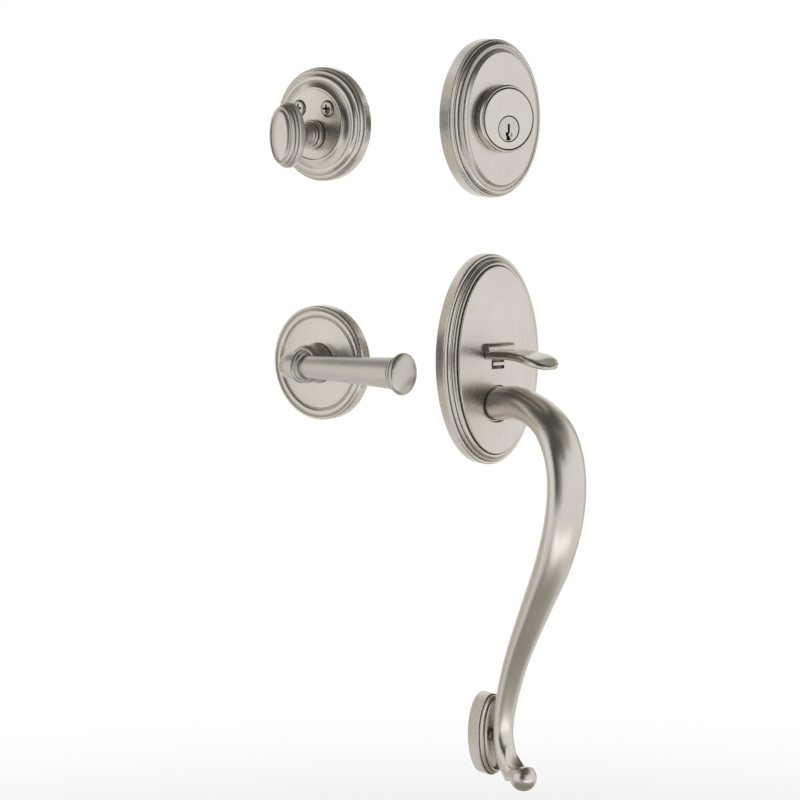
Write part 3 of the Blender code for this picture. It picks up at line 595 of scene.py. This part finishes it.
# Thumb piece
thumb = {
    "root": [
        (-28, 1.5, 2.3, 1.7), (-12, 1.5, 2.5, 2.2), (0, 1.5, 3.9, 3.4), (6.5, 1.5, 4.3, 3.5),
        (12, 1.5, 4.2, 3.3)],
    "shoulder": (2.6, 0.55, 4.2, 2.1),      # height, out from the panel, half width and thickness
    "pad": [
        (14.9, 3.3, 10.0, 2.8), (22, 3.8, 10.0, 2.8), (31, 4.4, 9.8, 3.0), (40, 4.4, 10.0, 3.1),
        (49, 3.7, 10.8, 3.0), (55, 2.5, 10.8, 2.7), (59.6, 1.1, 9.0, 2.3), (63.4, -0.2, 5.6, 1.7),
        (65.4, -0.8, 2.0, 0.9)],
    "rootPower": 4.0, "padPower": 3.6, "dip": 0.3,
    "pinHeight": 1.5, "pinOut": 6.5, "pinRadius": 1.7, "pinReach": 9,
    "heelHalfWide": 9.7, "heelLow": 5.0, "heelHigh": 10.3, "heelGap": 0.4, "heelThick": 3.7,
    "heelBevel": 0.35, "heelNose": 3.0,
    "stepHalfWide": 4.1, "stepLow": -3.0, "stepHigh": -0.9, "stepBack": 10, "stepOut": 0.9,
    "stepBevel": 0.25,
}


def rootOutline(part):
    return softOutline(thumb["rootPower"])


def padOutline(part):
    part = 0.5 + part / 2
    dip = thumb["dip"] * rampUp(part, 0.6, 0.75) * rampUp(1 - part, 0, 0.12)
    return softOutline(thumb["padPower"], 1.0, dip)


rootRings, _ = sweepRings(thumb["root"], 4, rootOutline)
padRings, _ = sweepRings(thumb["pad"], 6, padOutline)
height, out, halfWide, halfThick = thumb["shoulder"]
shoulder = (sectionFrame((0, height, face + out), axisX, axisY, halfWide, halfThick),
            softOutline(thumb["rootPower"]), 0.0)
tongue = finishPiece("thumb_tongue", growRings(rootRings + [shoulder] + padRings, facets["small"]),
                     outsideHalf, sharp=crease["cast"])
side, back = thumb["heelHalfWide"], face + thumb["heelGap"]
heel = boxTool((-side, thumb["heelLow"], back),
               (side, thumb["heelHigh"], back + thumb["heelThick"]),
               outsideHalf, bevel=thumb["heelBevel"], nose=thumb["heelNose"])
combine(tongue, heel, "UNION", crease["cast"])
side = thumb["stepHalfWide"]
block = boxTool((-side, thumb["stepLow"], thumb["stepBack"]),
                (side, thumb["stepHigh"], face + thumb["stepOut"]),
                outsideHalf, bevel=thumb["stepBevel"])
combine(tongue, block, "UNION", crease["cast"])
radius = thumb["pinRadius"]
pinWay = growRings([
    (sectionFrame((reach, thumb["pinHeight"], thumb["pinOut"]), axisY, axisZ, radius, radius),
     plainOutline, 0.5) for reach in (-thumb["pinReach"], thumb["pinReach"])],
    facets["smallHole"])
combine(tongue, finishPiece("tool", pinWay, outsideHalf))
# painted shade: the thumb piece's nickel is a darker copy (tone 0.88) of the same metal, standing
# in for the shade on its pad
dress(tongue, nickelFinish("thumb nickel", outsideHalf, tone=0.88, roughness=0.15),
      "thumb", ["thumb_piece"])
print("grip set made")

# Inside thumbturn: moulded rose, screws and oval knob
turnRose = {
    "radius": 33.1, "disc": 21.2, "face": 12.4, "skin": 2.8,
    "bore": 6.4, "boreStart": 3, "boreEnd": 20,
    "screwAcross": 10.5, "screwUp": 9.3, "screwRadius": 2.7, "screwDepth": 1.5,
    "sinkRadius": 6.1, "sinkDepth": 1.6, "sinkAbove": 0.8,
}
rim, disc, face = turnRose["radius"], turnRose["disc"], turnRose["face"]
corners = [
    (disc - 1, face - turnRose["skin"]), (disc + 2, face - 3.4), (rim - 4.6, 4.2),
    (rim - 2.4, 2.6), (rim - 2.4, 0), (rim - 0.1, 0), (rim, 0.1), (rim, 4.9),
    (rim - 0.5, 5.7, 0.12), (rim - 0.8, 5.5, 0, 0.35), (rim - 1.1, 5.5, 0, 0.45),
    (rim - 1.4, 6.6, 0, 0.1), (rim - 3.0, 8.0, 0.4), (rim - 3.3, 7.8, 0, 0.3),
    (rim - 3.7, 7.8, 0, 0.4), (rim - 4.0, 8.6, 0, 0.1), (rim - 6.8, 10.2, 0.55),
    (rim - 7.2, 10.0, 0, 0.2), (rim - 7.5, 10.1, 0, 0.2), (disc + 0.9, 12.5, -0.25),
    (disc + 0.2, 13.0, 0.08), (disc - 0.5, 12.9, 0.06), (disc - 1.3, face, -0.05)]
rose = finishPiece("thumbturn_rose", growRings(turnedRings(corners), facets["plate"]),
                   insideHalf, turnCentre)
combine(rose, drillTool(turnRose["bore"], turnRose["boreStart"], turnRose["boreEnd"], insideHalf,
                        shaftCentre))
screwSpots = [(turnCentre[0] + side * turnRose["screwAcross"], turnCentre[1] + turnRose["screwUp"])
              for side in (-1, 1)]
radius, sinkTop = turnRose["screwRadius"], face + turnRose["sinkAbove"]
for spot in screwSpots:
    combine(rose, drillTool(radius, hollow, face - turnRose["screwDepth"], insideHalf, spot,
                            segments=facets["screwHole"]))
    combine(rose, drillTool(radius, face - turnRose["sinkDepth"], sinkTop, insideHalf, spot,
                            top=turnRose["sinkRadius"], segments=facets["cast"], recess=False))
dress(rose, nickelFinish("turned nickel of the rose", insideHalf, turnCentre, "round"),
      replaced=["turn_rose"])

roseScrew = {
    "end": -24.6, "headRadius": 4.6, "shankRadius": 2.3,
    "crossReach": 2.45, "crossHalf": 0.6, "crossDepth": 0.9, "crossAbove": 3,
}
screwNickel = nickelFinish("screw nickel", insideHalf, roughness=0.22, tone=0.9)
radius, shank, end = roseScrew["headRadius"], roseScrew["shankRadius"], roseScrew["end"]
long, narrow = roseScrew["crossReach"], roseScrew["crossHalf"]
low, high = face - roseScrew["crossDepth"], face + roseScrew["crossAbove"]
for spot, node in zip(screwSpots, ("turn_screw_left", "turn_screw_right")):
    screw = finishPiece("rose_" + node, growRings(turnedRings([
        (shank - 0.7, end), (shank, end + 0.6), (shank, face - 1.4, 0, 1),
        (radius, face + 0.1, 0, 1), (radius - 0.15, face + 0.4, 0.03, 0.5),
        (radius - 1.8, face + 1.2, 0.2, 0.1), (0.8, face + 1.4, 0.03)]), facets["small"]),
        insideHalf, spot)
    for wide, tall in ((long, narrow), (narrow, long)):
        combine(screw, boxTool((-wide, -tall, low), (wide, tall, high), insideHalf, spot,
                               recess=True))
    dress(screw, screwNickel, replaced=[node])

knob = {
    "halfWide": 11.0, "halfTall": 18.9, "shankRadius": 4.2, "shankEnd": -8,
    "slotHalfWide": 1.2, "slotHalfLong": 8, "slotStart": -10, "slotEnd": -3,
    "neck": [                               # half width, half height and distance out
        (5.6, 5.6, 20.8), (5.6, 5.6, 24.0), (8.4, 11.6, 29.4), (10.6, 17.95, 32.6),
        (11.0, 18.9, 33.8)],
    "rings": [
        (0, 37.0), (0.4, 37.8, 0.1), (0.75, 37.75, 0, 0.5), (0.9, 37.9, 0, 0.5), (1.0, 38.7),
        (1.6, 39.8, 0.2), (1.85, 39.7, 0, 0.5), (2.0, 39.9, 0, 0.5), (2.1, 41.2),
        (2.9, 42.2, 0.25), (3.4, 42.0, 0.05), (3.8, 41.7, 0, 0.35), (4.2, 42.0, -0.05, 0.1),
        (5.4, 43.0, 0.12), (7.6, 43.5, 0.05), (9.4, 43.6, 0.01)],
}
radius, end = knob["shankRadius"], knob["shankEnd"]
rings = turnedRings([
    (radius, end), (radius, 0.6), (6.0, 0.6), (6.0, face + 0.5, 0, 0.8),
    (8.2, face + 0.5, 0, 0.8), (8.6, face + 0.9, 0.1), (8.6, face + 3.2), (7.9, face + 3.9, 0.15),
    (7.1, face + 4.0, 0, 0.9), (7.1, face + 4.2, 0, 0.9), (7.3, face + 5.5, 0.25),
    (6.4, face + 6.1, 0.1, 0.5), (5.8, face + 7.3, -0.15)])
for halfWide, halfTall, height in smoothRun(knob["neck"], 6):
    rings.append((sectionFrame((0, 0, height), axisX, axisY, halfWide, halfTall),
                  plainOutline, 0.0))
rings += ovalRings(knob["halfWide"], knob["halfTall"], knob["rings"])
head = finishPiece("oval_knob", growRings(rings, facets["knob"]), insideHalf, shaftCentre)
side, reach = knob["slotHalfWide"], knob["slotHalfLong"]
combine(head, boxTool((-side, -reach, knob["slotStart"]), (side, reach, knob["slotEnd"]),
                      insideHalf, shaftCentre, recess=True))
dress(head, nickelFinish("knob nickel", insideHalf, shaftCentre, roughness=0.33),
      "knob", ["turn_knob"])

# Inside lever: round rose, and the turned bar joined to its neck
leverRose = {"radius": 33.6, "bore": 11.0}
edge, bore = leverRose["radius"], leverRose["bore"]
corners = [
    (bore, 4.9, 0, 1), (edge - 6.4, 4.1), (edge - 2.6, 2.6), (edge - 2.6, 0), (edge - 0.1, 0),
    (edge, 0.1), (edge, 6.4), (edge - 0.9, 7.5, 0.2), (edge - 1.5, 7.3, 0.03, 0.2),
    (edge - 1.8, 6.8, 0, 0.45), (edge - 2.2, 6.8, 0, 0.45), (edge - 2.5, 7.3, 0, 0.1),
    (edge - 4.2, 8.0, 0.15), (edge - 5.8, 7.2, 0.15), (edge - 6.2, 6.5, 0, 0.4),
    (edge - 6.7, 6.5, 0, 0.5), (edge - 7.1, 6.95, 0, 0.1), (edge - 15, 7.5, 0.05),
    (bore + 0.6, 7.9, 0.04), (bore, 7.6, 0, 0.8)]
mesh = growRings(turnedRings(corners), facets["plate"], closed=True)
dress(finishPiece("lever_ring_rose", mesh, insideHalf),
      nickelFinish("turned nickel of the lever rose", insideHalf, grain="round"),
      replaced=["lever_rose"])

lever = {
    "barOut": 31.0, "elbow": 8.2, "root": 6.3, "barEnd": 76.0, "tip": 9.2, "cap": 12.1,
    "socketHalf": 4.2, "socketStart": -8, "socketEnd": 12,
}
elbow, barOut = lever["elbow"], lever["barOut"]
barCorners = [                              # radius and distance along the bar
    (0.6, -8.2), (2.9, -7.6, 0.1), (5.0, -6.2, 0.1), (6.9, -4.0, 0.12), (8.0, -1.2, 0.1),
    (elbow, 1.6, 0.03), (elbow, 5.3), (7.8, 5.7, 0, 0.8), (7.9, 5.9, 0, 0.8), (9.8, 7.1, 0.25),
    (8.5, 8.3, 0.25), (8.2, 8.4, 0, 0.9), (8.5, 8.7, 0, 0.2), (8.1, 9.8, 0.15),
    (6.5, 10.2, 0.05, 0.6), (lever["root"], 11.2, -0.1), (7.0, 32), (8.0, 54),
    (lever["tip"], lever["barEnd"]), (8.9, 76.3, 0, 0.5), (9.1, 76.6, 0, 0.3),
    (10.4, 77.8, 0.3), (10.0, 79.0, 0.2, 0.3), (10.2, 79.2, 0, 0.5), (12.0, 80.7, 0.25),
    (lever["cap"], 81.4, 0.02), (11.8, 82.4, 0.08), (8.4, 84.2, 0.3), (5.0, 85.1, 0.15),
    (1.0, 85.5, 0.08)]
bar = [(sectionFrame((reach, 0, barOut), axisY, axisZ, -inset, -inset), plainOutline, dark)
       for inset, reach, dark in traceProfile(radiiAsInsets(barCorners))]
handle = finishPiece("turned_lever", growRings(bar, facets["bar"]), insideHalf,
                     sharp=crease["cast"])
neck = finishPiece("tool", growRings(turnedRings([
    (6.9, -7.0), (6.9, -4.4), (8.0, -4.4), (8.0, 1.0), (10.5, 1.0), (10.5, 8.3, 0, 1),
    (11.5, 8.3, 0, 0.8), (11.7, 9.0, 0.1), (10.8, 10.2, 0.15), (10.5, 10.8, 0, 0.4),
    (10.4, 17.0), (10.6, 17.1, 0, 0.9), (11.2, 18.3, 0.15), (10.3, 19.3, 0.15),
    (10.2, 19.4, 0, 0.9), (10.5, 20.0, 0.1), (9.9, 21.0, 0.1), (9.0, 21.4, 0.05, 0.5),
    (7.7, 23.0, -0.1), (7.4, barOut + 0.6)]), facets["bar"]), insideHalf)
combine(handle, neck, "UNION", crease["cast"])
side = lever["socketHalf"]
combine(handle, boxTool((-side, -side, lever["socketStart"]), (side, side, lever["socketEnd"]),
                        insideHalf, recess=True), sharp=crease["cast"])
# painted shade: the lever's nickel is a darker copy (tone 0.88) of the same metal, standing in for
# the shade on its bar
leverNickel = nickelFinish("lever nickel", insideHalf, grain="along", tone=0.88, roughness=0.34)
dress(handle, leverNickel, "lever", ["lever_handle"])
print("inside half made")

# Everything else keeps its frame shape and gets its own finish
finishOf = {
    "zinc_steel": fixingFinish("plated steel", *fixing["plated"]),
    "spring_steel": fixingFinish("spring steel", *fixing["sprung"]),
    "brass": fixingFinish("turned brass", *fixing["brass"]),
    "satin_nickel": panelNickel,
}
for part in frame["record"]["subparts"]:
    node = frame["nodes"][part["node"]]
    node.data.materials.clear()
    node.data.materials.append(finishOf[part["material_slot"]])
print("fixings dressed")

# Stage, in metres: a pale floor that fades out, a white world and grey cards
studio = {
    "floorHeight": -0.40, "floorRadius": 1.1, "floorGrey": 0.93,
    "fadeStart": 0.45, "fadeShare": 0.95,   # from this distance to this share of the radius
    "world": 1.0, "worldFill": 0.85,        # as seen, and as it lights what is not glossy
    "glowSize": (0.50, 0.08), "glowPower": 0.14,
}


def stageObject(name, mesh, material):
    data = bpy.data.meshes.new(name)
    mesh.to_mesh(data)
    mesh.free()
    data.materials.append(material)
    made = bpy.data.objects.new(name, data)
    bpy.context.scene.collection.objects.link(made)
    return made


def mattPaint(name, colour, roughness, gloss):
    material, board, shader = startMaterial(name)
    shader.inputs["Base Color"].default_value = (*colour, 1)
    shader.inputs["Roughness"].default_value = roughness
    shader.inputs["Specular IOR Level"].default_value = gloss
    return material, board, shader


floorFinish, board, shader = mattPaint("pale floor", (studio["floorGrey"],) * 3, 0.9, 0.1)
reach = board.node("ShaderNodeVectorMath", {"operation": "LENGTH"}, {0: board.objectPlace()}, 1)
fade = board.node("ShaderNodeMapRange", {"interpolation_type": "SMOOTHSTEP"}, {
    0: reach, 1: studio["fadeStart"], 2: studio["floorRadius"] * studio["fadeShare"]})
clear = board.node("ShaderNodeBsdfTransparent")
mixed = board.node("ShaderNodeMixShader", inputs={
    0: fade, 1: Wire(board, shader.outputs[0]), 2: clear})
board.link(mixed, floorFinish.node_tree.nodes["Material Output"].inputs[0])
mesh = bmesh.new()
bmesh.ops.create_circle(mesh, cap_ends=True, segments=96, radius=studio["floorRadius"],
                        matrix=Matrix.Translation((0, 0, studio["floorHeight"])))
stageObject("floor", mesh, floorFinish)

# Cards that the metal mirrors as its darker bands, seen in gloss alone: place, width, height
# and grey. The flat cards lie over and under the set, the rest face its middle
cards = {
    "card_camera": ((-0.92, -0.72, 0.13), 0.60, 1.10, 0.02),
    "card_camera_wide": ((-0.84, -0.93, 0.10), 1.10, 1.20, 0.28),
    "card_front_top": ((-0.34, -0.93, 0.74), 1.30, 0.80, 0.10),
    "card_left_back": ((-0.63, 1.04, -0.03), 1.10, 1.60, 0.78),
    "card_right": ((1.14, 0.27, 0.03), 0.35, 1.60, 0.45),
}
flatCards = {
    "card_top": ((-0.03, 0.0, 0.90), 1.40, 1.40, 0.12),
    "card_high": ((-0.10, -0.35, 0.97), 2.60, 2.60, 0.45),
    "card_low": ((-0.02, -0.08, -0.385), 0.50, 0.42, 0.42),
}
cardTint = (1.0, 0.96, 0.84)
cardMiddle = Vector((-0.03, 0.0, -0.03))
for name, (place, width, height, grey) in {**cards, **flatCards}.items():
    paint = mattPaint(name, [grey * part for part in cardTint], 1.0, 0.0)[0]
    facing = axisZ if name in flatCards else Vector(place) - cardMiddle
    turned = facing.to_track_quat("Z", "Y").to_matrix().to_4x4()
    size = Matrix.Diagonal((width, height, 1, 1))
    mesh = bmesh.new()
    bmesh.ops.create_grid(mesh, x_segments=1, y_segments=1, size=0.5,
                          matrix=Matrix.Translation(place) @ turned @ size)
    card = stageObject(name, mesh, paint)
    card.visible_camera = False
    card.visible_shadow = False
    card.visible_diffuse = False


# Places a lamp or the camera and turns it to the target
def aim(made, place, target):
    bpy.context.scene.collection.objects.link(made)
    made.location = place
    made.rotation_euler = (Vector(target) - Vector(place)).to_track_quat("-Z", "Y").to_euler()
    return made


glow = bpy.data.lights.new("floor glow", "AREA")
glow.shape = "RECTANGLE"
glow.size, glow.size_y = studio["glowSize"]
glow.energy = studio["glowPower"]
aim(bpy.data.objects.new("floor glow", glow), (0.03, -0.33, -0.36), (0, -0.07, -0.11))

world = bpy.data.worlds.new("white studio")
bpy.context.scene.world = world
world.use_nodes = True
board = Board(world.node_tree)
rays = board.node("ShaderNodeLightPath", output="Is Camera Ray")
seen = rays + rays.sibling("Is Glossy Ray") + rays.sibling("Is Transmission Ray")
strength = seen.work("MAXIMUM", studio["worldFill"]).work("MINIMUM", studio["world"])
background = world.node_tree.nodes["Background"]
background.inputs["Color"].default_value = (1, 1, 1, 1)
board.link(strength, background.inputs["Strength"])

# Camera at the photograph's view
view = {"place": (-1.1957, -1.5903, 0.1851), "target": (-0.0400, 0.0286, -0.0246), "lens": 152.54}
cameraData = bpy.data.cameras.new("camera")
cameraData.lens = view["lens"]
cameraData.sensor_width = 36.0
camera = aim(bpy.data.objects.new("camera", cameraData), view["place"], view["target"])
bpy.context.scene.camera = camera
bpy.context.scene.view_settings.view_transform = "Standard"
print("studio set")
